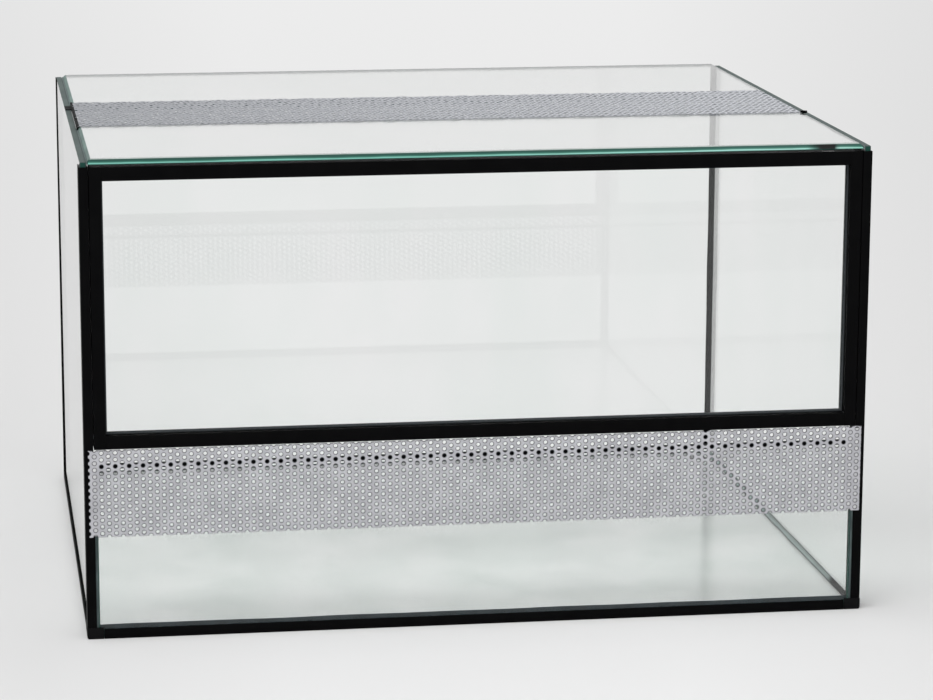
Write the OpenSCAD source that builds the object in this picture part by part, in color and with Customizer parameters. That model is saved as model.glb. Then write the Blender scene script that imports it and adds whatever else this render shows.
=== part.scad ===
// Glass reptile terrarium with a framed drop-down front door and two perforated vent strips.
// Millimetres. X runs across the front, Y from front to back, Z up. The origin is the
// centre of the base, on the surface that the terrarium stands on.

/* [Glass box] */
// Width over the outer faces of the two side panes
glass_w = 500; // [300:1:900]
// Depth of the bottom pane and of the side panes
glass_d = 418; // [330:1:700]
// Height of the side and back panes above the floor
pane_h = 300; // [250:1:600]
// Thickness of every fixed pane
glass_t = 4; // [3:0.5:8]
// How far the top panes stand above the side panes
top_step = 2; // [0:0.5:3]
// Depth of the top pane in front of the vent
top_front_d = 149; // [80:1:200]
// Free gap between the two top panes
top_gap = 95; // [20:1:120]

/* [Edge profiles] */
// Wall thickness of the black edge profiles
profile_t = 0.8; // [0.6:0.1:1.5]
// Clearance between a pane and the profile that covers its edge
profile_fit = 0.1; // [0.05:0.05:0.3]
// Height of the bottom profile's front face
sill_h = 6.4; // [6:0.5:15]
// Depth of the bottom profile under the glass
sill_d = 12; // [6:1:25]
// Width of a corner cap, seen from the front
cap_w = 10.6; // [9:0.1:20]
// Length of a corner cap's leg along the side
cap_leg = 20; // [10:1:40]
// Height of a corner cap
cap_h = 7.4; // [6:0.1:16]
// How far a corner cap stands out beyond the upright profile
cap_proud = 0.3; // [0.1:0.1:1]
// Radius of a corner cap's outer lower corner
cap_round = 1.6; // [0.5:0.1:3]
// Seam between a corner cap and the bottom profile
cap_seam = 0.2; // [0.1:0.1:0.5]

/* [Vent strips] */
// Thickness of the perforated sheet
strip_t = 0.8; // [0.5:0.1:1.2]
// Height of the front vent strip
front_vent_h = 56; // [30:1:90]
// Inset of the front vent strip's ends from the outside of the upright profiles
front_vent_inset = 2.2; // [0:0.1:5]
// How far the top vent strip laps over each top pane
top_vent_lap = 10; // [5:1:20]
// Number of openings along a vent strip
vent_columns = 12; // [2:1:12]
// Number of openings across a vent strip
vent_rows = 2; // [1:1:3]
// Width of the sheet left between two openings and beside the outer ones
vent_web = 6; // [3:0.5:10]
// Gap between the lower pane's trim and the bottom of the door
vent_gap = 9; // [5:0.5:30]
// Height of the black trim on the lower pane's top edge
trim_h = 3.4; // [2:0.1:8]

/* [Door] */
// Height of the door frame
door_h = 178.5; // [120:0.5:400]
// Height of the door frame's top and bottom bars
bar_h = 8.6; // [7:0.1:20]
// Width of the door frame's upright bars
bar_w = 7.5; // [7:0.1:20]
// Depth of the door frame's bars and of the upright profiles beside them
bar_d = 15; // [12:0.5:25]
// Thickness of the door's pane
door_glass_t = 3; // [2:0.5:4]
// Distance from the front of the door frame to its pane
door_glass_set = 6; // [6:0.5:8]
// Depth of the groove that holds the door's pane
groove_depth = 4; // [2:0.5:5]
// Play of the door's pane in its groove
groove_fit = 0.1; // [0.05:0.05:0.3]
// Play between the edge of the door's pane and the floor of its groove
groove_play = 0.5; // [0.2:0.1:1]
// Gap on each side of the door
door_side_gap = 0.5; // [0.3:0.1:1]
// Gap between the door and the top pane above it
door_top_gap = 1.3; // [1.2:0.1:3]
// Gap between the door and the front vent strip below it
door_bottom_gap = 0.5; // [0.4:0.1:2]
// Width of the sealing strip beside the door's pane
seal_w = 1; // [0.5:0.1:2]

/* [Pivot pins] */
// Diameter of a pivot pin
pin_d = 3; // [2:0.1:4]
// Distance from the front of the door to the pivot axis
pin_set = 3.5; // [3:0.1:4]
// Height of the pivot axis above the bottom of the door
pin_rise = 7.4; // [5:0.1:8]
// Radial clearance of a pivot pin in the upright profile
pin_run = 0.08; // [0.03:0.01:0.1]
// Radial clearance of a pivot pin in the door frame
pin_seat = 0.02; // [0.01:0.01:0.05]

/* [Catch and stops] */
// Width of the magnet under the top pane and of the steel plate below it
magnet_w = 8; // [4:1:20]
// Depth of the magnet and of the steel plate
magnet_d = 4; // [3:0.5:8]
// Thickness of the magnet
magnet_t = 0.5; // [0.3:0.1:0.7]
// Distance from the door's right side to the magnet
magnet_inset = 18; // [10:1:100]
// Thickness of the steel plate let into the door's top bar
striker_t = 0.4; // [0.2:0.1:1]
// Width of a rubber stop behind the door
stop_w = 6; // [4:1:9]
// Depth of a rubber stop
stop_d = 4; // [2:1:10]
// Height of a rubber stop
stop_h = 12; // [6:1:30]
// Distance from the top of the door down to a stop
stop_drop = 12; // [5:1:100]
// Gap between the closed door and its stops
stop_gap = 0.3; // [0.3:0.1:1]

/* [Silicone and feet] */
// Leg of the silicone beads in the inner corners
bead = 4; // [2:0.5:8]
// Thickness of a bead's feathered edge
bead_lip = 0.4; // [0.2:0.1:1]
// Width of the silicone joint around the top panes
joint = 0.6; // [0.3:0.1:1]
// Width of the silicone joint beside the lower pane
lower_joint = 1.6; // [1:0.1:4]
// Height of the black sealing line above the left end of the top vent
end_line_h = 0.6; // [0.3:0.1:1.5]
// Width of the black sealing line at the left end of the top vent
end_line_w = 1.6; // [1.2:0.1:3]
// Length of the dab that carries this line over the side pane's edge
end_dab_l = 18; // [6:1:40]
// Diameter of the dab at the right front corner of the top vent
corner_dab_d = 5; // [3:0.5:8]
// Thickness of the silicone line outside the left pane
outer_bead_t = 1.2; // [0.5:0.1:1.2]
// Height of this line along the pane's lower edge
outer_bead_h = 7; // [5:0.5:15]
// Width of this line up the pane's back edge
outer_bead_w = 4; // [2:0.5:10]
// Diameter of a foot pad under the back of the floor
pad_d = 12; // [8:1:30]
// Distance from the edges of the floor to a foot pad's centre
pad_inset = 15; // [8:1:60]

/* [Hidden] */
$fn = 64;

// Colours
glass_colour = [0.72, 0.84, 0.80, 0.35];
black_profile = [0.06, 0.06, 0.065];
black_silicone = [0.04, 0.045, 0.05];
grey_silicone = [0.42, 0.47, 0.47];
bare_metal = [0.70, 0.70, 0.73];
black_rubber = [0.08, 0.08, 0.08];
steel = [0.55, 0.56, 0.58];

// Depth positions, from front to back
strip_front = -(strip_t + profile_t + profile_fit + glass_d) / 2;
front_face = strip_front + strip_t;
glass_front = front_face + profile_t + profile_fit;
glass_back = glass_front + glass_d;
back_inner = glass_back - glass_t;
door_back = front_face + bar_d;
lower_back = glass_front + glass_t;

// Half widths, from the outside in
glass_x = glass_w / 2;
inner_x = glass_x - glass_t;
post_outer_x = glass_x + profile_fit + profile_t;
post_inner_x = inner_x - profile_fit - profile_t;
cap_x = post_outer_x + cap_proud;
sill_x = cap_x - cap_w - cap_seam;
door_x = post_inner_x - door_side_gap;
lower_x = post_inner_x - lower_joint;
top_x = inner_x - joint;
front_vent_x = post_outer_x - front_vent_inset;

// Heights, from the base up
floor_under = profile_t + profile_fit;
floor_z = floor_under + glass_t;
side_top = floor_z + pane_h;
top_z = side_top + top_step;
top_under = top_z - glass_t;
door_top = top_under - door_top_gap;
door_bottom = door_top - door_h;
vent_top = door_bottom - door_bottom_gap;
vent_bottom = vent_top - front_vent_h;
trim_top = door_bottom - vent_gap;
lower_top = trim_top - profile_t - profile_fit;

// Top vent, from front to back
vent_open_front = glass_front + top_front_d;
vent_open_back = vent_open_front + top_gap;
vent_front = vent_open_front - top_vent_lap;
vent_back = vent_open_back + top_vent_lap;

// Door frame
bar_inner_x = door_x - bar_w;
pane_bite = groove_depth - groove_play;
pane_front = front_face + door_glass_set;
pane_back = pane_front + door_glass_t;
opening_bottom = door_bottom + bar_h;
opening_top = door_top - bar_h;
pin_y = front_face + pin_set;
pin_z = door_bottom + pin_rise;
pin_r = pin_d / 2;
pin_tip_x = inner_x - 2 * profile_fit;
magnet_x = door_x - magnet_inset - magnet_w;
overcut = 1;

// A block between two opposite corners
module block(low, high) {
    translate(low) cube(high - low);
}

// The children as they are on the right, or their mirror image on the left
module on_side(side) {
    if (side == "left") mirror([1, 0, 0]) children();
    else children();
}

// Section of a silicone bead in a corner at the origin, hollow on its free side
module bead_section() {
    difference() {
        square(bead);
        translate([bead, bead]) circle(r = bead - bead_lip);
    }
}

module bottom_pane() {
    color(glass_colour)
        block([-glass_x, glass_front, floor_under], [glass_x, glass_back, floor_z]);
}

module back_pane() {
    color(glass_colour)
        block([-inner_x, back_inner, floor_z], [inner_x, glass_back, side_top]);
}

module side_pane(side) {
    color(glass_colour)
        on_side(side)
            block([inner_x, glass_front, floor_z], [glass_x, glass_back, side_top]);
}

module top_front_pane() {
    color(glass_colour)
        block([-top_x, glass_front, top_under], [top_x, vent_open_front, top_z]);
}

module top_rear_pane() {
    color(glass_colour)
        block([-top_x, vent_open_back, top_under], [top_x, back_inner - joint, top_z]);
}

module lower_front_pane() {
    color(glass_colour)
        block([-lower_x, glass_front, floor_z], [lower_x, lower_back, lower_top]);
}

// A channel pushed over the top edge of the lower pane
module lower_pane_trim() {
    color(black_profile)
        difference() {
            block([-lower_x, front_face, trim_top - trim_h],
                [lower_x, lower_back + profile_fit + profile_t, trim_top]);
            block([-lower_x - overcut, glass_front - profile_fit, trim_top - trim_h - overcut],
                [lower_x + overcut, lower_back + profile_fit, lower_top + profile_fit]);
        }
}

// A vent strip lying flat, with a grid of openings between the margins along its long edges
module vent_sheet(size_x, size_y, margin) {
    cell_x = (size_x - vent_web) / vent_columns;
    cell_y = (size_y - 2 * margin + vent_web) / vent_rows;
    difference() {
        translate([-size_x / 2, 0, 0]) cube([size_x, size_y, strip_t]);
        for (column = [0 : vent_columns - 1])
            for (row = [0 : vent_rows - 1])
                translate([vent_web - size_x / 2 + column * cell_x, margin + row * cell_y, -overcut])
                    cube([cell_x - vent_web, cell_y - vent_web, strip_t + 2 * overcut]);
    }
}

module front_vent_strip() {
    color(bare_metal)
        translate([0, front_face, vent_bottom])
            rotate([90, 0, 0])
                vent_sheet(2 * front_vent_x, front_vent_h, vent_web);
}

module top_vent_strip() {
    color(bare_metal)
        translate([0, vent_front, top_z])
            vent_sheet(2 * top_x, vent_back - vent_front, top_vent_lap + vent_web);
}

// A channel over the front edge of a side pane, bored for the door's pivot pin
module post_profile(side) {
    color(black_profile)
        on_side(side)
            difference() {
                block([post_inner_x, front_face, cap_h], [post_outer_x, door_back, door_top]);
                block([inner_x - profile_fit, glass_front - profile_fit, cap_h - overcut],
                    [glass_x + profile_fit, door_back + overcut, door_top + overcut]);
                translate([post_inner_x - overcut, pin_y, pin_z])
                    rotate([0, 90, 0])
                        cylinder(r = pin_r + pin_run, h = overcut + profile_t + profile_fit);
            }
}

// An angle under the front edge of the floor
module bottom_profile() {
    color(black_profile)
        difference() {
            block([-sill_x, front_face, 0], [sill_x, front_face + sill_d, sill_h]);
            block([-sill_x - overcut, front_face + profile_t, profile_t],
                [sill_x + overcut, front_face + sill_d + overcut, sill_h + overcut]);
        }
}

// A tray around the lower front corner of the glass
module corner_cap(side) {
    color(black_profile)
        on_side(side)
            difference() {
                translate([cap_x - cap_w, front_face + cap_leg, 0])
                    rotate([90, 0, 0])
                        linear_extrude(cap_leg) cap_outline();
                block([cap_x - cap_w - overcut, front_face + profile_t, profile_t],
                    [glass_x + profile_fit, front_face + cap_leg + overcut, cap_h + overcut]);
            }
}

// The cap seen from the front, with its outer lower corner rounded
module cap_outline() {
    translate([0, cap_round]) square([cap_w, cap_h - cap_round]);
    square([cap_w - cap_round, cap_round]);
    translate([cap_w - cap_round, cap_round]) circle(r = cap_round);
}

module floor_bead_side(side) {
    color(side == "left" ? black_silicone : grey_silicone)
        on_side(side)
            translate([inner_x, back_inner, floor_z])
                mirror([1, 0, 0])
                    rotate([90, 0, 0])
                        linear_extrude(back_inner - door_back - profile_fit) bead_section();
}

module floor_bead_back() {
    color(black_silicone)
        translate([bead - inner_x, back_inner, floor_z])
            mirror([0, 1, 0])
                rotate([90, 0, 90])
                    linear_extrude(2 * (inner_x - bead)) bead_section();
}

module floor_bead_front() {
    color(grey_silicone)
        translate([-post_inner_x, lower_back, floor_z])
            rotate([90, 0, 90])
                linear_extrude(2 * post_inner_x) bead_section();
}

// The line outside the left pane, along its lower edge and up its back edge
module outer_bead_left() {
    bead_top = floor_under + outer_bead_h;
    color(black_silicone)
        translate([-glass_x - outer_bead_t, 0, 0])
            rotate([90, 0, 90])
                linear_extrude(outer_bead_t)
                    polygon([[front_face + cap_leg + cap_seam, floor_under], [glass_back, floor_under],
                        [glass_back, side_top], [glass_back - outer_bead_w, side_top],
                        [glass_back - outer_bead_w, bead_top],
                        [front_face + cap_leg + cap_seam, bead_top]]);
}

// The upright bead in a back corner stands on the floor beads
module corner_bead(side) {
    color(black_silicone)
        on_side(side)
            translate([inner_x, back_inner, floor_z + bead])
                mirror([1, 0, 0])
                    mirror([0, 1, 0])
                        linear_extrude(top_under - floor_z - bead) bead_section();
}

// Silicone between the ends of the lower pane and the upright profiles
module lower_pane_joints() {
    color(grey_silicone)
        for (side = ["left", "right"])
            on_side(side)
                block([lower_x, glass_front, floor_z], [post_inner_x, lower_back, trim_top]);
}

// Silicone around the two top panes
module top_pane_joints() {
    color(grey_silicone) {
        for (side = ["left", "right"])
            on_side(side) {
                block([top_x, glass_front, top_under], [inner_x, vent_open_front, side_top]);
                block([top_x, vent_open_back, top_under], [inner_x, back_inner, side_top]);
            }
        block([-top_x, back_inner - joint, top_under], [top_x, back_inner, side_top]);
    }
}

// The line that seals the left end of the top vent, its dab over the side pane's edge,
// and the dab on the right front corner
module vent_end_line() {
    line_top = top_z + strip_t + end_line_h;
    color(black_silicone) {
        block([-inner_x, vent_front, side_top], [-top_x, vent_back, line_top]);
        block([-top_x, vent_front, top_z + strip_t], [end_line_w - inner_x, vent_back, line_top]);
        block([-glass_x, vent_back - end_dab_l, side_top], [-inner_x, vent_back, side_top + end_line_h]);
        translate([top_x - corner_dab_d / 2, vent_front + corner_dab_d / 2, top_z + strip_t])
            cylinder(d = corner_dab_d, h = end_line_h);
    }
}

module rear_foot_pads() {
    color(black_rubber)
        for (side = ["left", "right"])
            on_side(side)
                translate([glass_x - pad_inset, glass_back - pad_inset, 0])
                    cylinder(d = pad_d, h = floor_under);
}

module catch_magnet() {
    color(black_rubber)
        block([magnet_x, glass_front, top_under - magnet_t],
            [magnet_x + magnet_w, glass_front + magnet_d, top_under]);
}

// The space of the steel plate, let in flush with the top of the door
module striker_space(extra) {
    block([magnet_x, glass_front, door_top - striker_t],
        [magnet_x + magnet_w, glass_front + magnet_d, door_top + extra]);
}

module striker_plate() {
    color(steel) striker_space(0);
}

// Rubber blocks on the side panes, which the closed door leans against
module door_stops() {
    color(black_rubber)
        for (side = ["left", "right"])
            on_side(side)
                block([inner_x - stop_w, door_back + stop_gap, door_top - stop_drop - stop_h],
                    [inner_x, door_back + stop_gap + stop_d, door_top - stop_drop]);
}

// The slot that holds the door's pane, as high and as wide as the groove's floor
module pane_groove() {
    block([-bar_inner_x - groove_depth, pane_front - groove_fit, opening_bottom - groove_depth],
        [bar_inner_x + groove_depth, pane_back + groove_fit, opening_top + groove_depth]);
}

module door_bottom_bar() {
    color(black_profile)
        difference() {
            block([-bar_inner_x, front_face, door_bottom], [bar_inner_x, door_back, opening_bottom]);
            pane_groove();
        }
}

module door_top_bar() {
    color(black_profile)
        difference() {
            block([-bar_inner_x, front_face, opening_top], [bar_inner_x, door_back, door_top]);
            pane_groove();
            striker_space(overcut);
        }
}

// An upright of the door frame, bored for its pivot pin
module door_side_bar(side) {
    color(black_profile)
        on_side(side)
            difference() {
                block([bar_inner_x, front_face, door_bottom], [door_x, door_back, door_top]);
                pane_groove();
                translate([bar_inner_x - overcut, pin_y, pin_z])
                    rotate([0, 90, 0])
                        cylinder(r = pin_r + pin_seat, h = bar_w + 2 * overcut);
            }
}

module door_pane() {
    color(glass_colour)
        block([-bar_inner_x - pane_bite, pane_front, opening_bottom - pane_bite],
            [bar_inner_x + pane_bite, pane_back, opening_top + pane_bite]);
}

// Sealing strips around the window, in front of and behind the door's pane
module door_pane_seal() {
    color(black_rubber)
        for (y = [pane_front - seal_w, pane_back])
            difference() {
                block([-bar_inner_x, y, opening_bottom], [bar_inner_x, y + seal_w, opening_top]);
                block([seal_w - bar_inner_x, y - overcut, opening_bottom + seal_w],
                    [bar_inner_x - seal_w, y + seal_w + overcut, opening_top - seal_w]);
            }
}

// Pins fixed in the door frame, which turn in the upright profiles
module pivot_pins() {
    color(steel)
        for (side = ["left", "right"])
            on_side(side)
                translate([bar_inner_x, pin_y, pin_z])
                    rotate([0, 90, 0])
                        cylinder(r = pin_r, h = pin_tip_x - bar_inner_x);
}

bottom_pane();
back_pane();
side_pane("left");  // left_pane
side_pane("right");  // right_pane
top_front_pane();
top_rear_pane();
lower_front_pane();
lower_pane_trim();
front_vent_strip();
top_vent_strip();
post_profile("left");  // left_post_profile
post_profile("right");  // right_post_profile
bottom_profile();
corner_cap("left");  // left_corner_cap
corner_cap("right");  // right_corner_cap
floor_bead_side("left");  // floor_bead_left
floor_bead_side("right");  // floor_bead_right
floor_bead_back();
floor_bead_front();
outer_bead_left();
corner_bead("left");  // corner_bead_left
corner_bead("right");  // corner_bead_right
lower_pane_joints();
top_pane_joints();
vent_end_line();
rear_foot_pads();
catch_magnet();
door_stops();
door_bottom_bar();
door_top_bar();
door_side_bar("left");  // door_left_bar
door_side_bar("right");  // door_right_bar
door_pane();
door_pane_seal();
pivot_pins();
striker_plate();
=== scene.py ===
"""The looks of a glass reptile terrarium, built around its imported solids. Metres, Z up, front at -Y."""
import math
import random

import bpy
from mathutils import Matrix, Vector


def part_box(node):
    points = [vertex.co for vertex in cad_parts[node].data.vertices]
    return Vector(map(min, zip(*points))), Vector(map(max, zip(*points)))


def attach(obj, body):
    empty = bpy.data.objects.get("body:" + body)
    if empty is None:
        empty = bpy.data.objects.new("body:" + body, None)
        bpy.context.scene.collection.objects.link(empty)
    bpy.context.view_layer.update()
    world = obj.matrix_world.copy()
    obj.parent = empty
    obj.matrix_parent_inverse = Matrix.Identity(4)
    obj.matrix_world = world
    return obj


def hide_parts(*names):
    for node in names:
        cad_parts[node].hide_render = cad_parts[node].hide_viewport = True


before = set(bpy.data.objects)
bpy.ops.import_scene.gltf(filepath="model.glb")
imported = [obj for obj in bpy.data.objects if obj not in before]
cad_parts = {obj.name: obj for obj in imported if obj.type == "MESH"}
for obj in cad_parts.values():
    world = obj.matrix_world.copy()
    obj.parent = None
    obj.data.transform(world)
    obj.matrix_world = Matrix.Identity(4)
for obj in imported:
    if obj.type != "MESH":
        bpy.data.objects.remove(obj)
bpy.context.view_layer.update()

MM = 0.001

bpy.ops.object.select_all(action="DESELECT")
bpy.context.scene.view_settings.view_transform = "Standard"


# Colours and nodes


def hex_colour(text, alpha=1.0):
    """An sRGB hex value as the linear colour that the shaders take."""
    channels = [int(text[i:i + 2], 16) / 255 for i in (0, 2, 4)]
    linear = [c / 12.92 if c <= 0.04045 else ((c + 0.055) / 1.055) ** 2.4 for c in channels]
    return (*linear, alpha)


def add(tree, kind, links=None, values=None, **settings):
    """Adds one node with its settings, input values and links, and returns it."""
    node = tree.nodes.new("ShaderNode" + kind)
    for name, value in settings.items():
        setattr(node, name, value)
    for name, value in (values or {}).items():
        node.inputs[name].default_value = value
    for name, socket in (links or {}).items():
        tree.links.new(socket, node.inputs[name])
    return node


def new_material(name, **values):
    """A material with one Principled shader, whose uniform values are set on its own sockets."""
    material = bpy.data.materials.new(name)
    material.use_nodes = True
    tree = material.node_tree
    shader = tree.nodes["Principled BSDF"]
    for socket, value in values.items():
        shader.inputs[socket.replace("_", " ")].default_value = value
    return material, tree, shader


def pattern_space(tree, stretch=(1, 1, 1)):
    """Object coordinates, scaled along each axis."""
    place = add(tree, "TexCoord")
    return add(
        tree, "Mapping", {"Vector": place.outputs["Object"]}, {"Scale": stretch}
    ).outputs["Vector"]


def noise(tree, size_mm, stretch=(1, 1, 1), detail=3.0, rough=0.5):
    """Noise whose features are about size_mm wide."""
    values = {"Scale": 1 / (size_mm * MM), "Detail": detail, "Roughness": rough}
    return add(tree, "TexNoise", {"Vector": pattern_space(tree, stretch)}, values).outputs["Fac"]


def ramp(tree, factor, stops):
    """A colour ramp with (position, colour) stops."""
    node = add(tree, "ValToRGB", {"Fac": factor})
    elements = node.color_ramp.elements
    while len(elements) < len(stops):
        elements.new(0.5)
    for element, (position, colour) in zip(elements, stops):
        element.position = position
        element.color = colour
    return node.outputs["Color"]


def grey(level):
    """A grey as a colour, for a ramp that drives a number."""
    return (level, level, level, 1)


def bump(tree, shader, height, depth_mm, strength=1.0):
    """Bump on a shader from a height between 0 and 1."""
    node = add(tree, "Bump", {"Height": height}, {"Distance": depth_mm * MM, "Strength": strength})
    tree.links.new(node.outputs["Normal"], shader.inputs["Normal"])


def lets_lamps_through(tree, shader, tint):
    """Lets rays from lamps pass straight through a clear shader, so that what is behind it is lit."""
    output = tree.nodes["Material Output"]
    clear = add(tree, "BsdfTransparent", values={"Color": tint})
    path = add(tree, "LightPath")
    mix = add(tree, "MixShader", {0: path.outputs["Is Shadow Ray"]})
    tree.links.new(shader.outputs[0], mix.inputs[1])
    tree.links.new(clear.outputs[0], mix.inputs[2])
    tree.links.new(mix.outputs[0], output.inputs["Surface"])


# Materials


def polished_float_glass(name, film_code, roughness=0.0):
    """Soda-lime float glass with fire-polished faces: mirror smooth, faintly green through its depth, with the
    faint film that wiping leaves, in film_code; a greyer film_code is painted shade. A pane that has been scrubbed
    is a little rough."""
    material, tree, shader = new_material(
        name, Roughness=roughness, IOR=1.52, Transmission_Weight=1.0, Specular_IOR_Level=0.25
    )
    film = noise(tree, 60, (1, 1, 0.4), detail=4)
    tint = ramp(tree, film, [(0.35, hex_colour("FFFFFF")), (0.7, hex_colour(film_code))])
    tree.links.new(tint, shader.inputs["Base Color"])
    lets_lamps_through(tree, shader, hex_colour("FAFCFB"))
    depth = add(tree, "VolumeAbsorption", values={"Color": hex_colour("C4F0E0"), "Density": 1.25})
    tree.links.new(depth.outputs[0], tree.nodes["Material Output"].inputs["Volume"])
    return material


def seamed_glass_edge(name, dark, light, sheen=0.2):
    """The cut edge of float glass, seamed with a fine belt: satin, deep green from the light that
    travels inside the pane, in long uneven streaks."""
    material, tree, shader = new_material(name, Roughness=0.45, IOR=1.52, Specular_IOR_Level=sheen)
    streaks = noise(tree, 30, detail=4)
    colour = ramp(tree, streaks, [(0.3, hex_colour(dark)), (0.7, hex_colour(light))])
    tree.links.new(colour, shader.inputs["Base Color"])
    grind = noise(tree, 0.4, detail=2)
    bump(tree, shader, grind, 0.02)
    return material


def painted_light_glass_edge(name, low, high):
    """The front edge of the top pane, with the light inside the pane painted on it in level bands: painted shade
    under the upper arris and painted turquoise light above the lower one. It is painted paler to the right, painted
    black with the shade of the catch's magnet, which lies behind it, and palest, a painted highlight, in the
    chipped seam at its right end."""
    material, tree, shader = new_material(name, Roughness=0.3, IOR=1.52, Specular_IOR_Level=0.35)
    place = add(tree, "TexCoord")
    axes = add(tree, "SeparateXYZ", {"Vector": place.outputs["Object"]})
    level = add(
        tree, "MapRange", {"Value": axes.outputs["Z"]},
        {"From Min": low.z, "From Max": high.z, "To Min": 0.0, "To Max": 1.0},
    )
    drift = noise(tree, 25, (1, 1, 0.05), detail=3)
    shifted = add(tree, "Math", {0: drift}, {1: 0.22}, operation="MULTIPLY")
    moved = add(tree, "Math", {0: level.outputs[0], 1: shifted.outputs[0]}, operation="ADD")
    painted_light_bands = ramp(tree, moved.outputs[0], [(at, hex_colour(code)) for at, code in EDGE_PAINTED_LIGHT_BANDS])
    along = add(
        tree, "MapRange", {"Value": axes.outputs["X"]},
        {"From Min": low.x, "From Max": high.x, "To Min": 0.0, "To Max": 1.0},
    )
    painted_light_along = ramp(tree, along.outputs[0], [(at, hex_colour(code)) for at, code in EDGE_PAINTED_LIGHT_ALONG])
    colour = add(
        tree, "Mix", {"A": painted_light_bands, "B": painted_light_along}, {"Factor": 1.0}, data_type="RGBA", blend_type="MULTIPLY"
    )
    tree.links.new(colour.outputs["Result"], shader.inputs["Base Color"])
    return material


# Painted light and shade in level bands up the top pane's front edge.
EDGE_PAINTED_LIGHT_BANDS = (
    (0.0, "2E9C80"), (0.17, "84D2BE"), (0.36, "D2FFF4"), (0.5, "5E9D8C"), (0.7, "366A5E"), (0.92, "46685F"),
)
# Painted light along the front edge: paler to the right, the magnet's painted shade, then a painted highlight.
EDGE_PAINTED_LIGHT_ALONG = (
    (0.0, "B4DDD8"), (0.5, "BCE2DC"), (0.8, "F0FFFF"), (0.924, "F4FFFF"), (0.932, "8CA8A4"),
    (0.942, "101818"), (0.962, "101818"), (0.966, "FFFFFF"), (1.0, "D8F4EE"),
)


def silicone_film(name, code):
    """Silicone squeezed to a film between two panes: smooth where it wets the glass."""
    material, tree, shader = new_material(name, Roughness=0.3, IOR=1.41)
    patches = noise(tree, 9, detail=3)
    colour = ramp(tree, patches, [(0.35, hex_colour(code)), (0.75, hex_colour(lighter(code, 1.25)))])
    tree.links.new(colour, shader.inputs["Base Color"])
    return material


def lighter(code, factor):
    """The hex value with each channel multiplied."""
    channels = [min(255, round(int(code[i:i + 2], 16) * factor)) for i in (0, 2, 4)]
    return "".join(f"{c:02X}" for c in channels)


def tooled_silicone(name, code, roughness=0.25, sheen=0.15):
    """Silicone sealant drawn smooth with a wet finger: soft gloss with long shallow ripples."""
    material, tree, shader = new_material(name, IOR=1.41, Specular_IOR_Level=sheen)
    patches = noise(tree, 12, detail=2)
    colour = ramp(tree, patches, [(0.3, hex_colour(code)), (0.75, hex_colour(lighter(code, 1.3)))])
    tree.links.new(colour, shader.inputs["Base Color"])
    gloss = ramp(tree, patches, [(0.2, grey(roughness)), (0.8, grey(roughness + 0.15))])
    tree.links.new(gloss, shader.inputs["Roughness"])
    bump(tree, shader, noise(tree, 3, detail=2), 0.15)
    return material


def clear_silicone(name, black_before):
    """Clear silicone gone milky: pale in the thick of the bead, dark at its lips where it thins out over the joint,
    which is painted shade, and black before some place, where the sealant of the front joint covers it."""
    material, tree, shader = new_material(name, IOR=1.41, Roughness=0.35, Specular_IOR_Level=0.06)
    # The lip attribute paints shade along the bead's lips.
    lip = add(tree, "Attribute", attribute_name="lip")
    place = add(tree, "TexCoord")
    axes = add(tree, "SeparateXYZ", {"Vector": place.outputs["Object"]})
    wander = add(tree, "Math", {0: noise(tree, 8, detail=3)}, {1: 14 * MM}, operation="MULTIPLY")
    behind = add(tree, "Math", {0: axes.outputs["Y"], 1: wander.outputs[0]}, operation="ADD")
    front = add(
        tree, "MapRange", {"Value": behind.outputs[0]},
        {"From Min": black_before - 6 * MM, "From Max": black_before + 6 * MM, "To Min": 1.0, "To Max": 0.0},
    )
    shade_and_cover = add(tree, "Math", {0: lip.outputs["Fac"], 1: front.outputs[0]}, operation="MAXIMUM")
    colour = ramp(
        tree, shade_and_cover.outputs[0],
        [(0.25, hex_colour("8C9795")), (0.6, hex_colour("66716F")), (0.95, hex_colour("0A0C0E"))],
    )
    tree.links.new(colour, shader.inputs["Base Color"])
    bump(tree, shader, noise(tree, 4, detail=2), 0.15)
    return material


def extruded_black_pvc(name, along):
    """Black extruded PVC: satin, with fine die lines along the length and a faint dusty bloom."""
    material, tree, shader = new_material(name, IOR=1.53, Specular_IOR_Level=0.04)
    line_mm = 0.35
    stretch = [1.0, 1.0, 1.0]
    stretch["XYZ".index(along)] = 0.004
    lines = noise(tree, line_mm, stretch, detail=2)
    bloom = noise(tree, 14, detail=4)
    colour = ramp(tree, bloom, [(0.3, hex_colour("040405")), (0.75, hex_colour("09090A"))])
    tree.links.new(colour, shader.inputs["Base Color"])
    gloss = ramp(tree, lines, [(0.3, grey(0.45)), (0.7, grey(0.6))])
    tree.links.new(gloss, shader.inputs["Roughness"])
    bump(tree, shader, lines, 0.012)
    return material


def moulded_black_plastic():
    """Injection-moulded black plastic of the corner caps: finely spark-eroded, even and matt."""
    material, tree, shader = new_material("moulded_black_plastic", IOR=1.5, Specular_IOR_Level=0.1)
    grain = noise(tree, 0.5, detail=2)
    colour = ramp(tree, grain, [(0.3, hex_colour("050506")), (0.7, hex_colour("0B0B0D"))])
    tree.links.new(colour, shader.inputs["Base Color"])
    gloss = ramp(tree, grain, [(0.3, grey(0.42)), (0.7, grey(0.55))])
    tree.links.new(gloss, shader.inputs["Roughness"])
    bump(tree, shader, grain, 0.02)
    return material


def moulded_black_rubber(name, code="141414"):
    """Black rubber: matt, slightly mottled, with a fine moulded grain."""
    material, tree, shader = new_material(name, IOR=1.52, Specular_IOR_Level=0.3)
    grain = noise(tree, 0.8, detail=3)
    colour = ramp(tree, grain, [(0.3, hex_colour(code)), (0.7, hex_colour(lighter(code, 1.35)))])
    tree.links.new(colour, shader.inputs["Base Color"])
    gloss = ramp(tree, grain, [(0.3, grey(0.62)), (0.7, grey(0.78))])
    tree.links.new(gloss, shader.inputs["Roughness"])
    bump(tree, shader, grain, 0.03)
    return material


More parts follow.
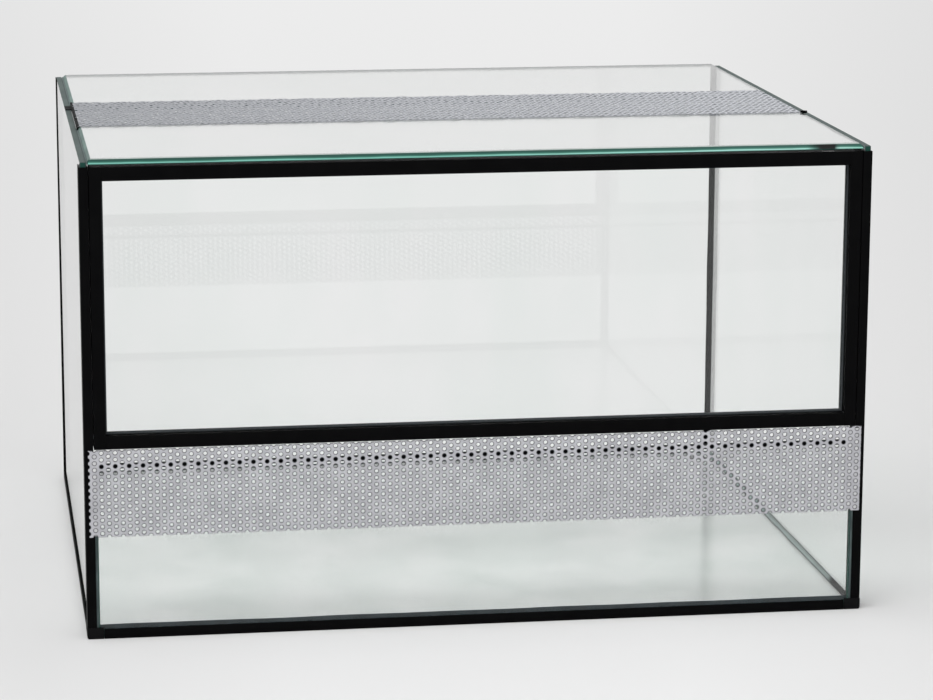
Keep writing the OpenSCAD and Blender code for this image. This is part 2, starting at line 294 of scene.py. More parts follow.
def punched_aluminium_sheet(name, dark, light, rim_shade_code, left_share=1.0):
    """Rolled aluminium sheet with punched holes: fine rolling lines, a dull mill finish, and a darker ring round
    each hole, painted shade of its turned-in rim. left_share makes it darker towards its left end."""
    material, tree, shader = new_material(name, Metallic=1.0)
    rolling = noise(tree, 0.5, (0.02, 1, 1), detail=3)
    clouds = noise(tree, 9, detail=3)
    clean = ramp(tree, clouds, [(0.3, hex_colour(dark)), (0.7, hex_colour(light))])
    place = add(tree, "TexCoord")
    axes = add(tree, "SeparateXYZ", {"Vector": place.outputs["Object"]})
    along = add(
        tree, "MapRange", {"Value": axes.outputs["X"]},
        {"From Min": -0.25, "From Max": 0.25, "To Min": 0.0, "To Max": 1.0},
    )
    # Darker towards the left end, by left_share.
    middle = (left_share + 1.4) / 2.4
    left_darkening = ramp(tree, along.outputs[0], [(0.0, grey(left_share)), (0.5, grey(middle)), (1.0, grey(1))])
    darkened_to_left = add(
        tree, "Mix", {"A": clean, "B": left_darkening}, {"Factor": 1.0}, data_type="RGBA", blend_type="MULTIPLY"
    )
    face = darkened_to_left.outputs["Result"]
    # The rim attribute paints shade round each hole and along the cut borders.
    rim = add(tree, "Attribute", attribute_name="rim")
    rim_shade_share = ramp(tree, rim.outputs["Fac"], [(0.25, grey(0)), (0.75, grey(1))])
    colour = add(
        tree, "Mix", {"Factor": rim_shade_share, "A": face}, {"B": hex_colour(rim_shade_code)}, data_type="RGBA"
    )
    tree.links.new(colour.outputs["Result"], shader.inputs["Base Color"])
    gloss = ramp(tree, rolling, [(0.3, grey(0.42)), (0.7, grey(0.58))])
    tree.links.new(gloss, shader.inputs["Roughness"])
    bump(tree, shader, rolling, 0.01)
    return material


def turned_steel(name, dark, light):
    """Turned or milled steel with fine tool marks, bright or blackened."""
    material, tree, shader = new_material(name, Metallic=1.0)
    rings = noise(tree, 0.3, (1, 0.05, 0.05), detail=2)
    colour = ramp(tree, rings, [(0.3, hex_colour(dark)), (0.7, hex_colour(light))])
    tree.links.new(colour, shader.inputs["Base Color"])
    gloss = ramp(tree, rings, [(0.3, grey(0.25)), (0.7, grey(0.4))])
    tree.links.new(gloss, shader.inputs["Roughness"])
    return material


# Modelling


def edit(piece):
    """Makes piece the only selected object and enters edit mode with all of it selected."""
    bpy.ops.object.select_all(action="DESELECT")
    piece.select_set(True)
    bpy.context.view_layer.objects.active = piece
    bpy.ops.object.mode_set(mode="EDIT")
    bpy.ops.mesh.select_all(action="SELECT")


def leave():
    """Leaves edit mode."""
    bpy.ops.object.mode_set(mode="OBJECT")


def apply_modifier(piece, name, kind, **settings):
    """Adds a modifier and applies it at once."""
    bpy.ops.object.select_all(action="DESELECT")
    piece.select_set(True)
    bpy.context.view_layer.objects.active = piece
    modifier = piece.modifiers.new(name, kind)
    for key, value in settings.items():
        setattr(modifier, key, value)
    bpy.ops.object.modifier_apply(modifier=name)


def smooth_by_angle(piece, degrees=35):
    """Smooth shading with sharp edges above an angle."""
    bpy.ops.object.select_all(action="DESELECT")
    piece.select_set(True)
    bpy.context.view_layer.objects.active = piece
    bpy.ops.object.shade_smooth_by_angle(angle=math.radians(degrees))


def block(name, low, high):
    """A cube primitive that fills the space between two corners, with its place in its mesh."""
    bpy.ops.object.select_all(action="DESELECT")
    bpy.ops.mesh.primitive_cube_add(size=1, location=(Vector(low) + Vector(high)) / 2)
    piece = bpy.context.object
    piece.name = name
    piece.scale = Vector(high) - Vector(low)
    bpy.ops.object.transform_apply(location=True, rotation=True, scale=True)
    return piece


def dress(piece, body, nodes, materials):
    """Gives a piece its body, the solids that it stands for and its materials."""
    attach(piece, body)
    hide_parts(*nodes)
    for material in materials:
        piece.data.materials.append(material)


def eased_copy(node, body, material, radius_mm, segments=2):
    """A copy of a solid with its long edges rounded, as extrusion and moulding leave them."""
    piece = bpy.data.objects.new("eased_" + node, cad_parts[node].data.copy())
    bpy.context.scene.collection.objects.link(piece)
    piece.data.materials.clear()
    edit(piece)
    bpy.ops.mesh.remove_doubles(threshold=0.002 * MM)
    bpy.ops.mesh.dissolve_limited(angle_limit=math.radians(2))
    bpy.ops.mesh.normals_make_consistent(inside=False)
    leave()
    apply_modifier(
        piece, "ease", "BEVEL", width=radius_mm * MM, segments=segments,
        limit_method="ANGLE", angle_limit=math.radians(40),
    )
    smooth_by_angle(piece)
    dress(piece, body, [node], [material])
    return piece


AXES = {"left": (0, -1), "right": (0, 1), "front": (1, -1), "back": (1, 1), "bottom": (2, -1), "top": (2, 1)}


def bevel_where(piece, chosen, width):
    """Bevels the edges whose two ends both pass a test."""
    edit(piece)
    bpy.ops.mesh.select_mode(type="EDGE")
    bpy.ops.mesh.select_all(action="DESELECT")
    leave()
    for line in piece.data.edges:
        line.select = all(chosen(piece.data.vertices[i].co) for i in line.vertices)
    bpy.ops.object.mode_set(mode="EDIT")
    bpy.ops.mesh.bevel(offset=width, segments=1)
    leave()


def glass_pane(node, body, thin_axis, bonded, materials, seams=(), accents=()):
    """A cut pane: arrises seamed at 45 degrees, clear faces, green edges, and silicone film on its
    bonded edges, which stop a bond line short of the glass that they meet. materials are those of the
    faces, the edges and the film, seams gives the width of a wider seam along the top of a side, and
    accents gives a material to what faces a direction."""
    low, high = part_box(node)
    for side in bonded:
        axis, sign = AXES[side]
        (low if sign < 0 else high)[axis] -= sign * BOND_LINE
    piece = block("glass_" + node, low, high)
    for side, width in seams:
        axis, sign = AXES[side]
        wall = low[axis] if sign < 0 else high[axis]
        bevel_where(
            piece, lambda co: abs(co[axis] - wall) < BOND_LINE and co.z > high.z - BOND_LINE, width
        )
    edit(piece)
    bpy.ops.mesh.bevel(offset=ARRIS, segments=1)
    leave()
    dress(piece, body, [node], [*materials, *(material for _, material in accents)])
    for polygon in piece.data.polygons:
        normal = polygon.normal
        polygon.material_index = 0 if abs(normal[thin_axis]) > 0.9 else 1
        for side in bonded:
            axis, sign = AXES[side]
            if normal[axis] * sign > 0.9:
                polygon.material_index = 2
        for place, (direction, _) in enumerate(accents):
            if normal.dot(Vector(direction).normalized()) > 0.9:
                polygon.material_index = 3 + place
    return piece


ARRIS = 0.45 * MM
LEFT_SEAM = 1.6 * MM
RIGHT_SEAM = 2.9 * MM
OUTER_BEAD_TOP = 7.9 * MM
OUTER_BEAD_DRAWN = 6.5 * MM
OUTER_BEAD_SHARE = 0.8
UPRIGHT_BEAD_SHARE = 0.45
BOND_LINE = 0.1 * MM

# Legs of the silicone squeezed out under the top panes.
SQUEEZED_LEG = 3.2 * MM
REAR_LEG = 1.8 * MM
# How much lower than the solids the tops of the lower pane, its trim and its joints are drawn.
TRIM_DROP = 1.1 * MM
# Faces within this distance of a piece's top count as its top.
TOP_REACH = 2 * MM
# Legs that the floor beads are drawn with. The solids' own leg is larger, the back one's most of all.
RIGHT_FLOOR_LEG = 3.0 * MM
LEFT_FLOOR_LEG = 2.5 * MM
BACK_FLOOR_LEG = 0.7 * MM


def silicone_bead(node, material, axis, walls, ripple_mm, seed, space=None):
    """A tooled bead in an inner corner. Its section is hollow on the free side and its width wanders.
    walls are the signs of the directions, along the two other axes, in which the panes lie. The bead
    fills its node's box, or the space given."""
    low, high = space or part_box(node)
    across = [a for a in range(3) if a != axis]
    leg = min(high[across[0]] - low[across[0]], high[across[1]] - low[across[1]])
    length = high[axis] - low[axis]
    rings = max(8, round(length / (6 * MM)))
    sunk = 0.08 * MM
    lip = 0.1 * leg
    draw = random.Random(seed)
    phases = [(draw.uniform(0, math.tau), draw.uniform(40, 160) * MM) for _ in range(4)]

    def section(size):
        """Points round the bead at one place, from the corner outwards."""
        hollow = [
            (size - (size - lip) * math.sin(t), size - (size - lip) * math.cos(t))
            for t in (math.radians(a) for a in (0, 22.5, 45, 67.5, 90))
        ]
        return [(-sunk, -sunk), (size, -sunk), *hollow, (-sunk, size)]

    points = len(section(leg))
    # Shares of painted shade at the lips, which the clear silicone reads.
    lip_shade_shares = {1: 1.0, 2: 0.8, points - 2: 0.8, points - 1: 1.0}
    bpy.ops.object.select_all(action="DESELECT")
    bpy.ops.mesh.primitive_grid_add(x_subdivisions=rings, y_subdivisions=points, size=2)
    piece = bpy.context.object
    piece.name = "tooled_" + node
    lip_shade = piece.data.attributes.new("lip", "FLOAT", "POINT")
    for vertex in piece.data.vertices:
        along = (vertex.co.x + 1) / 2
        index = round((vertex.co.y + 1) / 2 * points) % points
        place = low[axis] + along * length
        wander = sum(math.sin(place * math.tau / wave + start) for start, wave in phases) / 4
        size = leg - ripple_mm * MM * (0.5 - 0.5 * wander)
        u, v = section(size)[index]
        lip_shade.data[vertex.index].value = lip_shade_shares.get(index, 0.0)
        co = [0, 0, 0]
        co[axis] = place
        for distance, a, wall in ((u, across[0], walls[0]), (v, across[1], walls[1])):
            corner = high[a] if wall > 0 else low[a]
            co[a] = corner - wall * distance
        vertex.co = co
    edit(piece)
    bpy.ops.mesh.remove_doubles(threshold=0.001 * MM)
    bpy.ops.mesh.fill_holes(sides=0)
    bpy.ops.mesh.normals_make_consistent(inside=False)
    leave()
    smooth_by_angle(piece, 50)
    dress(piece, "cabinet", [node], [material])
    return piece


def blobbed_silicone(node, material, voxel_mm, seed):
    """A hand-laid line of silicone: the solid remeshed, softened and made uneven."""
    piece = bpy.data.objects.new("laid_" + node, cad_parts[node].data.copy())
    bpy.context.scene.collection.objects.link(piece)
    piece.data.materials.clear()
    edit(piece)
    bpy.ops.mesh.remove_doubles(threshold=0.002 * MM)
    leave()
    low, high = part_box(node)
    apply_modifier(piece, "voxels", "REMESH", mode="VOXEL", voxel_size=voxel_mm * MM)
    apply_modifier(piece, "soften", "SMOOTH", factor=0.4, iterations=2)
    draw = random.Random(seed)
    lumps = [(draw.uniform(0, math.tau), draw.uniform(5, 22) * MM) for _ in range(5)]
    for vertex in piece.data.vertices:
        lump = sum(math.sin(vertex.co.y * math.tau / wave + start) for start, wave in lumps) / 5
        vertex.co.z -= max(0.0, vertex.co.z - low.z) * 0.25 * (0.5 - 0.5 * lump)
        vertex.co = [min(max(c, a), b) for c, a, b in zip(vertex.co, low, high)]
    smooth_by_angle(piece, 60)
    dress(piece, "cabinet", [node], [material])
    return piece


# The pattern of the perforated sheets: columns of holes, every second one half a pitch higher.
COLUMN_PITCH = 4.34 * MM
HOLE_PITCH = 4.33 * MM
HOLE_RADIUS = 1.25 * MM
RIM_RADIUS = 1.9 * MM
HOLE_SIDES = 10
# Where the first column and row of holes fall, from the corner that each sheet is cut from.
FRONT_FIRST_COLUMN = -0.28 * MM
TOP_FIRST_COLUMN = 2.4 * MM
TOP_FIRST_ROW = 1.2 * MM
# The sheets are drawn thinner than their solids. Waviness is long and slight, ripple short.
SHEET_THICKNESS = 0.5 * MM
WAVINESS = 0.06 * MM
TOP_SHEET_THICKNESS = 0.4 * MM
RIPPLE = 0.22 * MM
RAGGED_EDGE = 0.14 * MM
CUT_EDGE_PAINTED_SHADE = 0.7
# The top sheet ends short of its solid at the right, where its bedding shows.
TOP_SHEET_SHORT = 5.0 * MM
# How far the front sheet is drawn above its solid, into the gap under the door.
GAP_COVER = 0.4 * MM
# How much deeper than its solid the dab at the top sheet's end is drawn.
DAB_DEPTH = 1.1 * MM
# The sealant behind the front sheet's ends: in from the sheet's end, and past the upright profile.
SMEAR_INSET = 1.2 * MM
LEFT_SMEAR_REACH = 2.2 * MM
RIGHT_SMEAR_REACH = 5.0 * MM
SMEAR_DEPTH = 0.35 * MM
PAD_EDGE = 0.1 * MM


def hole_cell(rimmed):
    """One hole and the rectangle of sheet round it, in the XY plane: a ring of ten faces, or two
    where the hole has a round rim of its own."""
    bpy.ops.object.select_all(action="DESELECT")
    bpy.ops.mesh.primitive_circle_add(vertices=HOLE_SIDES, radius=HOLE_RADIUS, fill_type="NOTHING")
    piece = bpy.context.object
    for vertex in piece.data.vertices:
        angle = math.tau * vertex.index / HOLE_SIDES
        vertex.co = (HOLE_RADIUS * math.cos(angle), HOLE_RADIUS * math.sin(angle), 0)
    edit(piece)
    if rimmed:
        bpy.ops.mesh.extrude_region_move()
        bpy.ops.transform.resize(value=(RIM_RADIUS / HOLE_RADIUS, RIM_RADIUS / HOLE_RADIUS, 1))
    bpy.ops.mesh.extrude_region_move()
    bpy.ops.transform.resize(value=(1.6, 1.6, 1))
    leave()
    half_x, half_y = COLUMN_PITCH / 2, HOLE_PITCH / 2
    # rim marks the hole's edge, where shade is painted.
    rim = piece.data.attributes.new("rim", "FLOAT", "POINT")
    for vertex in piece.data.vertices:
        reach = vertex.co.length
        if reach < HOLE_RADIUS * 1.05:
            rim.data[vertex.index].value = 1.0
        if reach < RIM_RADIUS * 1.05:
            continue
        step = round(math.degrees(math.atan2(vertex.co.y, vertex.co.x)) / 36) % 10
        perimeter = {
            0: (1, 0), 1: (1, 1), 2: (1 / 3, 1), 3: (-1 / 3, 1), 4: (-1, 1),
            5: (-1, 0), 6: (-1, -1), 7: (-1 / 3, -1), 8: (1 / 3, -1), 9: (1, -1),
        }
        x, y = perimeter[step]
        vertex.co = (x * half_x, y * half_y, 0)
    return piece


def perforated_sheet(name, width, height, first_column, first_row, thickness, ripple, rimmed, seed):
    """A strip cut out of perforated sheet, in the XY plane with its lower left corner at the origin.
    Its borders cut through holes as they fall, and are left a little ragged. ripple is how far short
    buckles lift the sheet."""
    piece = hole_cell(rimmed)
    piece.name = name
    edit(piece)
    bpy.ops.mesh.duplicate_move(TRANSFORM_OT_translate={"value": (COLUMN_PITCH, HOLE_PITCH / 2, 0)})
    leave()
    columns = math.ceil(width / (2 * COLUMN_PITCH)) + 2
    rows = math.ceil(height / HOLE_PITCH) + 3
    for label, count, offset in (
        ("columns", columns, (2 * COLUMN_PITCH, 0, 0)),
        ("rows", rows, (0, HOLE_PITCH, 0)),
    ):
        apply_modifier(
            piece, label, "ARRAY", count=count, use_relative_offset=False, use_constant_offset=True,
            constant_offset_displace=offset, use_merge_vertices=True, merge_threshold=0.02 * MM,
        )
    edit(piece)
    bpy.ops.mesh.remove_doubles(threshold=0.02 * MM)
    start = (first_column - 2 * COLUMN_PITCH, first_row - 2 * HOLE_PITCH, 0)
    bpy.ops.transform.translate(value=start)
    borders = (
        ((0, 0, 0), (-1, 0, 0)), ((width, 0, 0), (1, 0, 0)),
        ((0, 0, 0), (0, -1, 0)), ((0, height, 0), (0, 1, 0)),
    )
    for place, outwards in borders:
        bpy.ops.mesh.select_all(action="SELECT")
        bpy.ops.mesh.bisect(plane_co=place, plane_no=outwards, clear_outer=True, threshold=0.001 * MM)
    leave()
    draw = random.Random(seed)
    waves = [(draw.uniform(0, math.tau), draw.uniform(60, 260) * MM, draw.uniform(-0.8, 0.8)) for _ in range(5)]
    buckles = [(draw.uniform(0, math.tau), draw.uniform(6, 20) * MM, draw.uniform(-2, 2)) for _ in range(6)]
    rim = piece.data.attributes["rim"]
    for vertex in piece.data.vertices:
        x, y, _ = vertex.co
        inwards = [0.0, 0.0]
        for a, limit in ((0, width), (1, height)):
            if vertex.co[a] < 0.01 * MM:
                inwards[a] = draw.uniform(0, RAGGED_EDGE)
            elif vertex.co[a] > limit - 0.01 * MM:
                inwards[a] = -draw.uniform(0, RAGGED_EDGE)
        # The cut borders get the rims' painted shade too.
        if any(inwards):
            rim.data[vertex.index].value = max(rim.data[vertex.index].value, CUT_EDGE_PAINTED_SHADE)
        swell = sum(math.sin((x + y * slant) * math.tau / wave + s) for s, wave, slant in waves) / 5
        buckle = sum(math.sin((x + y * slant) * math.tau / wave + s) for s, wave, slant in buckles) / 2
        lift = WAVINESS * swell + ripple * min(max(buckle, -1), 1)
        vertex.co = (x + inwards[0], y + inwards[1], lift)
    apply_modifier(piece, "sheet", "SOLIDIFY", thickness=thickness, offset=0)
    return piece


def lower_top(piece):
    """Lowers the top of a piece at the lower pane, so that its black trim shows through one row of holes."""
    top = max(vertex.co.z for vertex in piece.data.vertices)
    for vertex in piece.data.vertices:
        if vertex.co.z > top - TOP_REACH:
            vertex.co.z -= TRIM_DROP


def squeezed_pad(name, low, high):
    """A thin pad of sealant squeezed flat between two parts, with rounded edges."""
    piece = block(name, low, high)
    edit(piece)
    bpy.ops.mesh.bevel(offset=PAD_EDGE, segments=3)
    leave()
    smooth_by_angle(piece)
    return piece


def stand_up(piece, rotation, place):
    """Turns and moves a finished sheet, and puts that into its mesh."""
    bpy.ops.object.select_all(action="DESELECT")
    piece.select_set(True)
    bpy.context.view_layer.objects.active = piece
    piece.rotation_euler = rotation
    piece.location = place
    bpy.ops.object.transform_apply(location=True, rotation=True, scale=True)


# The pieces


def build_glass():
    """The eight panes."""
    face = polished_float_glass("polished_float_glass", "FBFDFC")
    # The floor pane's greyer film is painted shade, darkening the floor seen through the box.
    floor_face_painted_shade = polished_float_glass("scrubbed_float_glass_painted_shade", "EFF2F1", 0.14)
    edge = seamed_glass_edge("seamed_edge_green", "224A41", "3E7266")
    # Copies of the seamed edge in other tones, as painted light: a darker green as painted shade on the side panes'
    # front edges, a grey as painted shade on the back and side panes' edges, a pale arris that is partly the
    # whitish satin of a ground arris and partly a painted highlight, and a wide seam whose grey is partly its
    # ground satin and partly painted reflection.
    painted_shade_edge = seamed_glass_edge("seamed_edge_painted_shade", "0E3B33", "1F5A4E")
    painted_shade_grey_edge = seamed_glass_edge("seamed_edge_painted_shade_grey", "4A5654", "5C6866", 0.03)
    arris = seamed_glass_edge("seamed_arris_painted_highlight", "A9B6B2", "CFDAD6")
    wide_seam_painted_reflection = seamed_glass_edge("seamed_wide_arris_painted_reflection", "5A6C68", "78908A", 0.06)
    black = silicone_film("silicone_film_black", "16191A")
    grey_film = silicone_film("silicone_film_grey", "5A6666")
    dark_film = silicone_film("silicone_film_slate", "2A3634")
    low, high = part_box("top_front_pane")
    front = painted_light_glass_edge("seamed_edge_painted_light", low, high)
    ahead, back, rising = (0, -1, 0), (0, 1, 0), (0, -1, 1)
    leftwards, down = (-1, 0, 1), (0, 0, -1)
    both_sides = (("left", LEFT_SEAM), ("right", RIGHT_SEAM))
    clear, painted_shade_edged, scrubbed = [face, edge, grey_film], [face, painted_shade_grey_edge, black], [floor_face_painted_shade, edge, black]
    # The accents put these painted-light copies of the edge where each shows.
    panes = (
        ("bottom_pane", 2, (), scrubbed, (), ((back, wide_seam_painted_reflection),)),
        ("back_pane", 1, ("bottom", "left", "right"), painted_shade_edged, (), ((down, wide_seam_painted_reflection),)),
        ("left_pane", 0, ("bottom",), painted_shade_edged, (), ((ahead, painted_shade_edge),)),
        ("right_pane", 0, ("bottom",), [face, painted_shade_grey_edge, grey_film], (), ((ahead, painted_shade_edge), (back, face))),
        (
            "top_front_pane", 2, ("left", "right"), clear, both_sides,
            ((ahead, front), (rising, arris), (leftwards, wide_seam_painted_reflection)),
        ),
        (
            "top_rear_pane", 2, ("left", "right", "back"), clear, both_sides,
            ((back, dark_film), (leftwards, wide_seam_painted_reflection)),
        ),
        ("lower_front_pane", 1, ("bottom", "left", "right"), clear, (), ()),
    )
    for node, thin_axis, bonded, materials, seams, accents in panes:
        pane = glass_pane(node, "cabinet", thin_axis, bonded, materials, seams, accents)
        if node == "lower_front_pane":
            lower_top(pane)
    glass_pane("door_pane", "door", 1, (), [face, edge, black])


def build_profiles():
    """The black profiles, caps and door frame."""
    upright = extruded_black_pvc("extruded_black_pvc_upright", "Z")
    level = extruded_black_pvc("extruded_black_pvc_level", "X")
    cap = moulded_black_plastic()
    for side in ("left", "right"):
        eased_copy(side + "_post_profile", "cabinet", upright, 0.28)
        eased_copy(side + "_corner_cap", "cabinet", cap, 0.25)
        eased_copy(f"door_{side}_bar", "door", upright, 0.35, 3)
    eased_copy("bottom_profile", "cabinet", level, 0.25)
    trim = eased_copy("lower_pane_trim", "cabinet", level, 0.2)
    lower_top(trim)
    for end in ("bottom", "top"):
        eased_copy(f"door_{end}_bar", "door", level, 0.35, 3)


def build_vents():
    """The two perforated strips."""
    # Rim colours: painted shade round the holes, dark on the upright sheet and faint on the flat one.
    front_sheet = punched_aluminium_sheet("punched_aluminium_upright", "BEBEC3", "D2D2D7", "3A3B40")
    # The flat sheet is paler than the upright one: painted light falling on it from above.
    top_sheet_painted_light = punched_aluminium_sheet("punched_aluminium_flat_painted_light", "D8DAE0", "E6E8ED", "AEB0B6", 0.58)
    low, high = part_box("front_vent_strip")
    trim_low, trim_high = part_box("lower_pane_trim")
    covered_row = (trim_low.z + trim_high.z) / 2 - low.z
    piece = perforated_sheet(
        "perforated_front_vent_strip", high.x - low.x, high.z - low.z + GAP_COVER,
        FRONT_FIRST_COLUMN, covered_row % HOLE_PITCH, SHEET_THICKNESS, 0.0, True, 11,
    )
    level = high.y - SHEET_THICKNESS / 2 - WAVINESS
    stand_up(piece, (math.pi / 2, 0, 0), (low.x, level, low.z))
    dress(piece, "cabinet", ["front_vent_strip"], [front_sheet])
    filler = tooled_silicone("smeared_grey_silicone", "C6C7CB", 0.4)
    post_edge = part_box("left_post_profile")[1].x
    ends = (
        ("left", low.x + SMEAR_INSET, post_edge + LEFT_SMEAR_REACH),
        ("right", -post_edge - RIGHT_SMEAR_REACH, high.x - SMEAR_INSET),
    )
    for name, near, far in ends:
        smear = squeezed_pad(
            "strip_adhesive_" + name,
            (near, high.y - SMEAR_DEPTH, low.z + MM), (far, high.y - BOND_LINE, high.z - MM),
        )
        dress(smear, "cabinet", [], [filler])
    low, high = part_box("top_vent_strip")
    piece = perforated_sheet(
        "perforated_top_vent_strip", high.y - low.y, high.x - low.x - TOP_SHEET_SHORT,
        TOP_FIRST_COLUMN, TOP_FIRST_ROW, TOP_SHEET_THICKNESS, RIPPLE, False, 23,
    )
    level = low.z + TOP_SHEET_THICKNESS / 2 + WAVINESS + RIPPLE
    stand_up(piece, (0, 0, math.pi / 2), (high.x - TOP_SHEET_SHORT, low.y, level))
    dress(piece, "cabinet", ["top_vent_strip"], [top_sheet_painted_light])
    front_pane, rear_pane, side_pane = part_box("top_front_pane"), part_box("top_rear_pane"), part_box("right_pane")
    bedding = squeezed_pad(
        "strip_bedding_right",
        (high.x - TOP_SHEET_SHORT, front_pane[1].y + BOND_LINE, front_pane[0].z + BOND_LINE),
        (side_pane[0].x - BOND_LINE, rear_pane[0].y - BOND_LINE, side_pane[1].z),
    )
    dress(bedding, "cabinet", [], [tooled_silicone("bedding_grey_silicone", "6E7476", 0.4)])


def build_silicone():
    """The beads, joints and sealing lines."""
    black = tooled_silicone("tooled_black_silicone", "020303", 0.35, 0.02)
    grey_bead = tooled_silicone("tooled_grey_silicone", "5F6A6A", 0.35)
    # A darker copy of the grey silicone: painted shade on the front floor bead, seen through the glass.
    shaded_grey_bead = tooled_silicone("tooled_grey_silicone_painted_shade", "2C363A", 0.35)
    low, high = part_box("floor_bead_left")
    drawn = (low, Vector((low.x + LEFT_FLOOR_LEG, high.y, low.z + LEFT_FLOOR_LEG)))
    silicone_bead("floor_bead_left", black, 1, (-1, -1), 0.4, 3, drawn)
    floor_clear = clear_silicone("tooled_clear_silicone", -148 * MM)
    low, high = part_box("floor_bead_right")
    drawn = (
        Vector((high.x - RIGHT_FLOOR_LEG, low.y, low.z)),
        Vector((high.x, high.y, low.z + RIGHT_FLOOR_LEG)),
    )
    silicone_bead("floor_bead_right", floor_clear, 1, (1, -1), 0.8, 4, drawn)
    low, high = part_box("floor_bead_back")
    drawn = (
        Vector((low.x, high.y - BACK_FLOOR_LEG, low.z)),
        Vector((high.x, high.y, low.z + BACK_FLOOR_LEG)),
    )
    silicone_bead("floor_bead_back", black, 0, (1, -1), 0.3, 5, drawn)
    silicone_bead("floor_bead_front", shaded_grey_bead, 0, (-1, -1), 0.8, 6)
    silicone_bead("corner_bead_left", black, 2, (-1, 1), 0.4, 7)
    silicone_bead("corner_bead_right", black, 2, (1, 1), 0.4, 8)
    joint = tooled_silicone("tooled_dark_grey_silicone", "4C5858", 0.35)
    lower_top(eased_copy("lower_pane_joints", "cabinet", joint, 0.3))
    eased_copy("top_pane_joints", "cabinet", grey_bead, 0.15)
    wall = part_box("right_pane")[0].x
    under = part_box("top_front_pane")[0].z
    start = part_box("left_post_profile")[1].y
    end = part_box("back_pane")[0].y
    squeezed = (Vector((wall - SQUEEZED_LEG, start, under - SQUEEZED_LEG)), Vector((wall, end, under)))
    top_clear = clear_silicone("squeezed_clear_silicone", start - 50 * MM)
    silicone_bead("top_pane_joints", top_clear, 1, (1, 1), 0.8, 12, squeezed)
    squeezed = (Vector((-wall, end - REAR_LEG, under - REAR_LEG)), Vector((wall, end, under)))
    silicone_bead("top_pane_joints", grey_bead, 0, (1, 1), 0.3, 13, squeezed)
    line = blobbed_silicone("vent_end_line", black, 0.25, 9)
    dab = [vertex for vertex in line.data.vertices if vertex.co.x > 0]
    dab_top = max(vertex.co.z for vertex in dab)
    for vertex in dab:
        if vertex.co.z < dab_top - 0.2 * MM:
            vertex.co.z -= DAB_DEPTH
        vertex.co.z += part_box("vent_end_line")[1].z - dab_top
    outer = eased_copy("outer_bead_left", "cabinet", black, 0.3)
    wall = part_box("left_pane")[0].x
    for vertex in outer.data.vertices:
        upright = vertex.co.z > OUTER_BEAD_TOP + MM
        vertex.co.x = wall + (vertex.co.x - wall) * (UPRIGHT_BEAD_SHARE if upright else OUTER_BEAD_SHARE)
        if OUTER_BEAD_TOP - MM < vertex.co.z < OUTER_BEAD_TOP + MM:
            vertex.co.z -= OUTER_BEAD_TOP - OUTER_BEAD_DRAWN


def build_fittings():
    """Seal, stops, foot pads, catch and pins."""
    rubber = moulded_black_rubber("moulded_black_rubber")
    seal = moulded_black_rubber("extruded_grey_seal", "3C4042")
    steel = turned_steel("turned_steel", "8E9094", "B4B6BA")
    blackened = turned_steel("blackened_steel", "101112", "1C1D1F")
    eased_copy("door_pane_seal", "door", seal, 0.25)
    eased_copy("door_stops", "cabinet", rubber, 0.6, 3)
    eased_copy("rear_foot_pads", "cabinet", rubber, 0.2)
    eased_copy("catch_magnet", "cabinet", rubber, 0.1)
    eased_copy("striker_plate", "door", blackened, 0.08)
    eased_copy("pivot_pins", "door", steel, 0.25)


# The studio


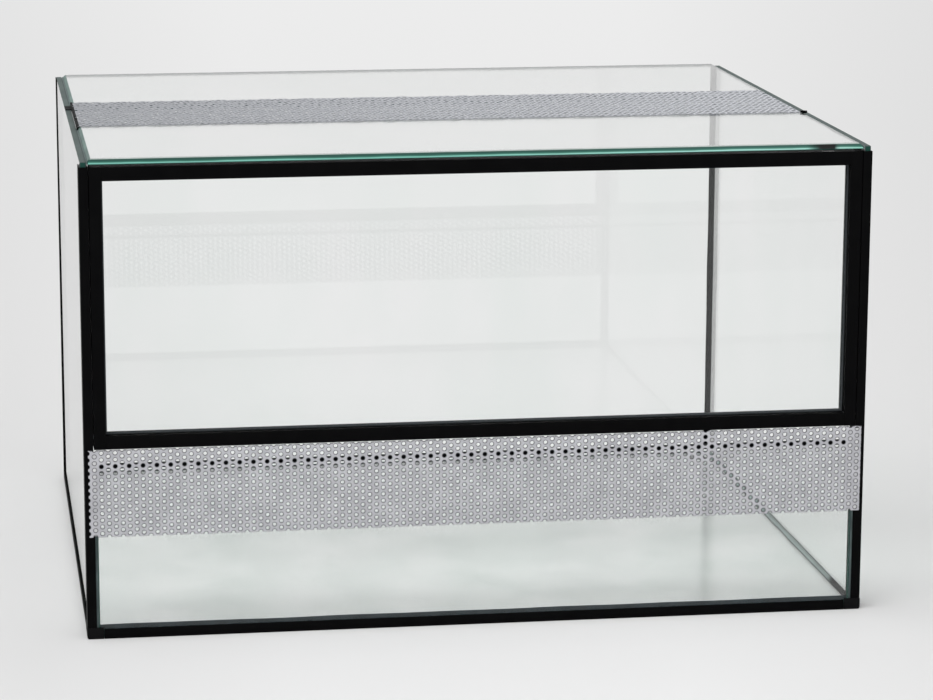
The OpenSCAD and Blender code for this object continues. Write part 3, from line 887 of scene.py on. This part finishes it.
def build_studio():
    """A pale floor with painted light on it, soft lamps and the world that glass and metal reflect."""
    bpy.ops.object.select_all(action="DESELECT")
    bpy.ops.mesh.primitive_plane_add(size=30, location=(0, 0, 0))
    floor = bpy.context.object
    floor.name = "studio_floor"
    paper, tree, shader = new_material("studio_paper", Roughness=0.9, Specular_IOR_Level=0.0)
    place = add(tree, "TexCoord")
    axes = add(tree, "SeparateXYZ", {"Vector": place.outputs["Object"]})
    depth = add(
        tree, "MapRange", {"Value": axes.outputs["Y"]},
        {"From Min": -1.0, "From Max": 4.0, "To Min": 0.0, "To Max": 1.0},
    )
    # Painted light: the floor is lighter in front of the box, a little darker where it stands, and evenly pale
    # behind.
    stops = [(0.12, "F4F4F4"), (0.2, "EAEAEA"), (0.26, "EBEBEB"), (0.6, "EBEBEB"), (0.95, "EDEDED")]
    painted_light_near_to_far = ramp(tree, depth.outputs[0], [(at, hex_colour(code)) for at, code in stops])
    from_left = add(tree, "Math", {0: axes.outputs["X"]}, {1: 0.28}, operation="ADD")
    spread = add(tree, "Math", {0: axes.outputs["Y"]}, {1: 0.306, 2: 0.70}, operation="MULTIPLY_ADD")
    across = add(tree, "Math", {0: from_left.outputs[0], 1: spread.outputs[0]}, operation="DIVIDE")
    # Painted light: a pool across the middle that falls off to each side.
    painted_light_falloff = [(0.0, "F6F6F6"), (0.25, "FFFFFF"), (0.65, "FFFFFF"), (1.0, "F2F2F2")]
    painted_light_side_to_side = ramp(tree, across.outputs[0], [(at, hex_colour(code)) for at, code in painted_light_falloff])
    colour = add(
        tree, "Mix", {"A": painted_light_near_to_far, "B": painted_light_side_to_side}, {"Factor": 1.0},
        data_type="RGBA", blend_type="MULTIPLY",
    )
    tree.links.new(colour.outputs["Result"], shader.inputs["Base Color"])
    floor.data.materials.append(paper)

    world = bpy.data.worlds.new("studio")
    bpy.context.scene.world = world
    world.use_nodes = True
    tree = world.node_tree
    light = tree.nodes["Background"]
    light.inputs["Color"].default_value = (1, 1, 1, 1)
    light.inputs["Strength"].default_value = 0.55
    seen = add(tree, "Background", values={"Color": hex_colour("E6E6E6"), "Strength": 1.0})
    path = add(tree, "LightPath")
    direct = add(
        tree, "Math", {0: path.outputs["Is Camera Ray"], 1: path.outputs["Is Glossy Ray"]}, operation="MAXIMUM"
    )
    shown = add(
        tree, "Math", {0: direct.outputs[0], 1: path.outputs["Is Transmission Ray"]}, operation="MAXIMUM"
    )
    mix = add(tree, "MixShader", {0: shown.outputs[0], 1: light.outputs[0], 2: seen.outputs[0]})
    tree.links.new(mix.outputs[0], tree.nodes["World Output"].inputs["Surface"])

    lamp = bpy.data.lights.new("soft_sun", "SUN")
    lamp.energy = 1.5
    lamp.angle = math.radians(50)
    holder = bpy.data.objects.new("soft_sun", lamp)
    bpy.context.scene.collection.objects.link(holder)
    holder.rotation_euler = Vector((0.3, 0.25, -1.0)).to_track_quat("-Z", "Y").to_euler()


def build_camera():
    """A long lens, left of the middle and a little above."""
    yaw, pitch, roll = 0.1359, 0.2092, -0.0004
    focal_px, picture_px, axis_px = 3282.4, 933, 400
    data = bpy.data.cameras.new("camera")
    data.sensor_width = 36
    data.lens = focal_px / picture_px * data.sensor_width
    data.shift_x = 0.5 - axis_px / picture_px
    data.clip_start, data.clip_end = 0.05, 60
    camera = bpy.data.objects.new("camera", data)
    bpy.context.scene.collection.objects.link(camera)
    ahead = Vector((math.sin(yaw) * math.cos(pitch), math.cos(yaw) * math.cos(pitch), -math.sin(pitch)))
    level = Vector((math.cos(yaw), -math.sin(yaw), 0))
    up = level.cross(ahead)
    across = math.cos(roll) * level + math.sin(roll) * up
    above = math.cos(roll) * up - math.sin(roll) * level
    turn = Matrix((across, above, -ahead)).transposed()
    camera.matrix_world = Matrix.Translation((-0.3253, -2.2106, 0.6104)) @ turn.to_4x4()
    bpy.context.scene.camera = camera


build_glass()
build_profiles()
build_vents()
build_silicone()
build_fittings()
build_studio()
build_camera()
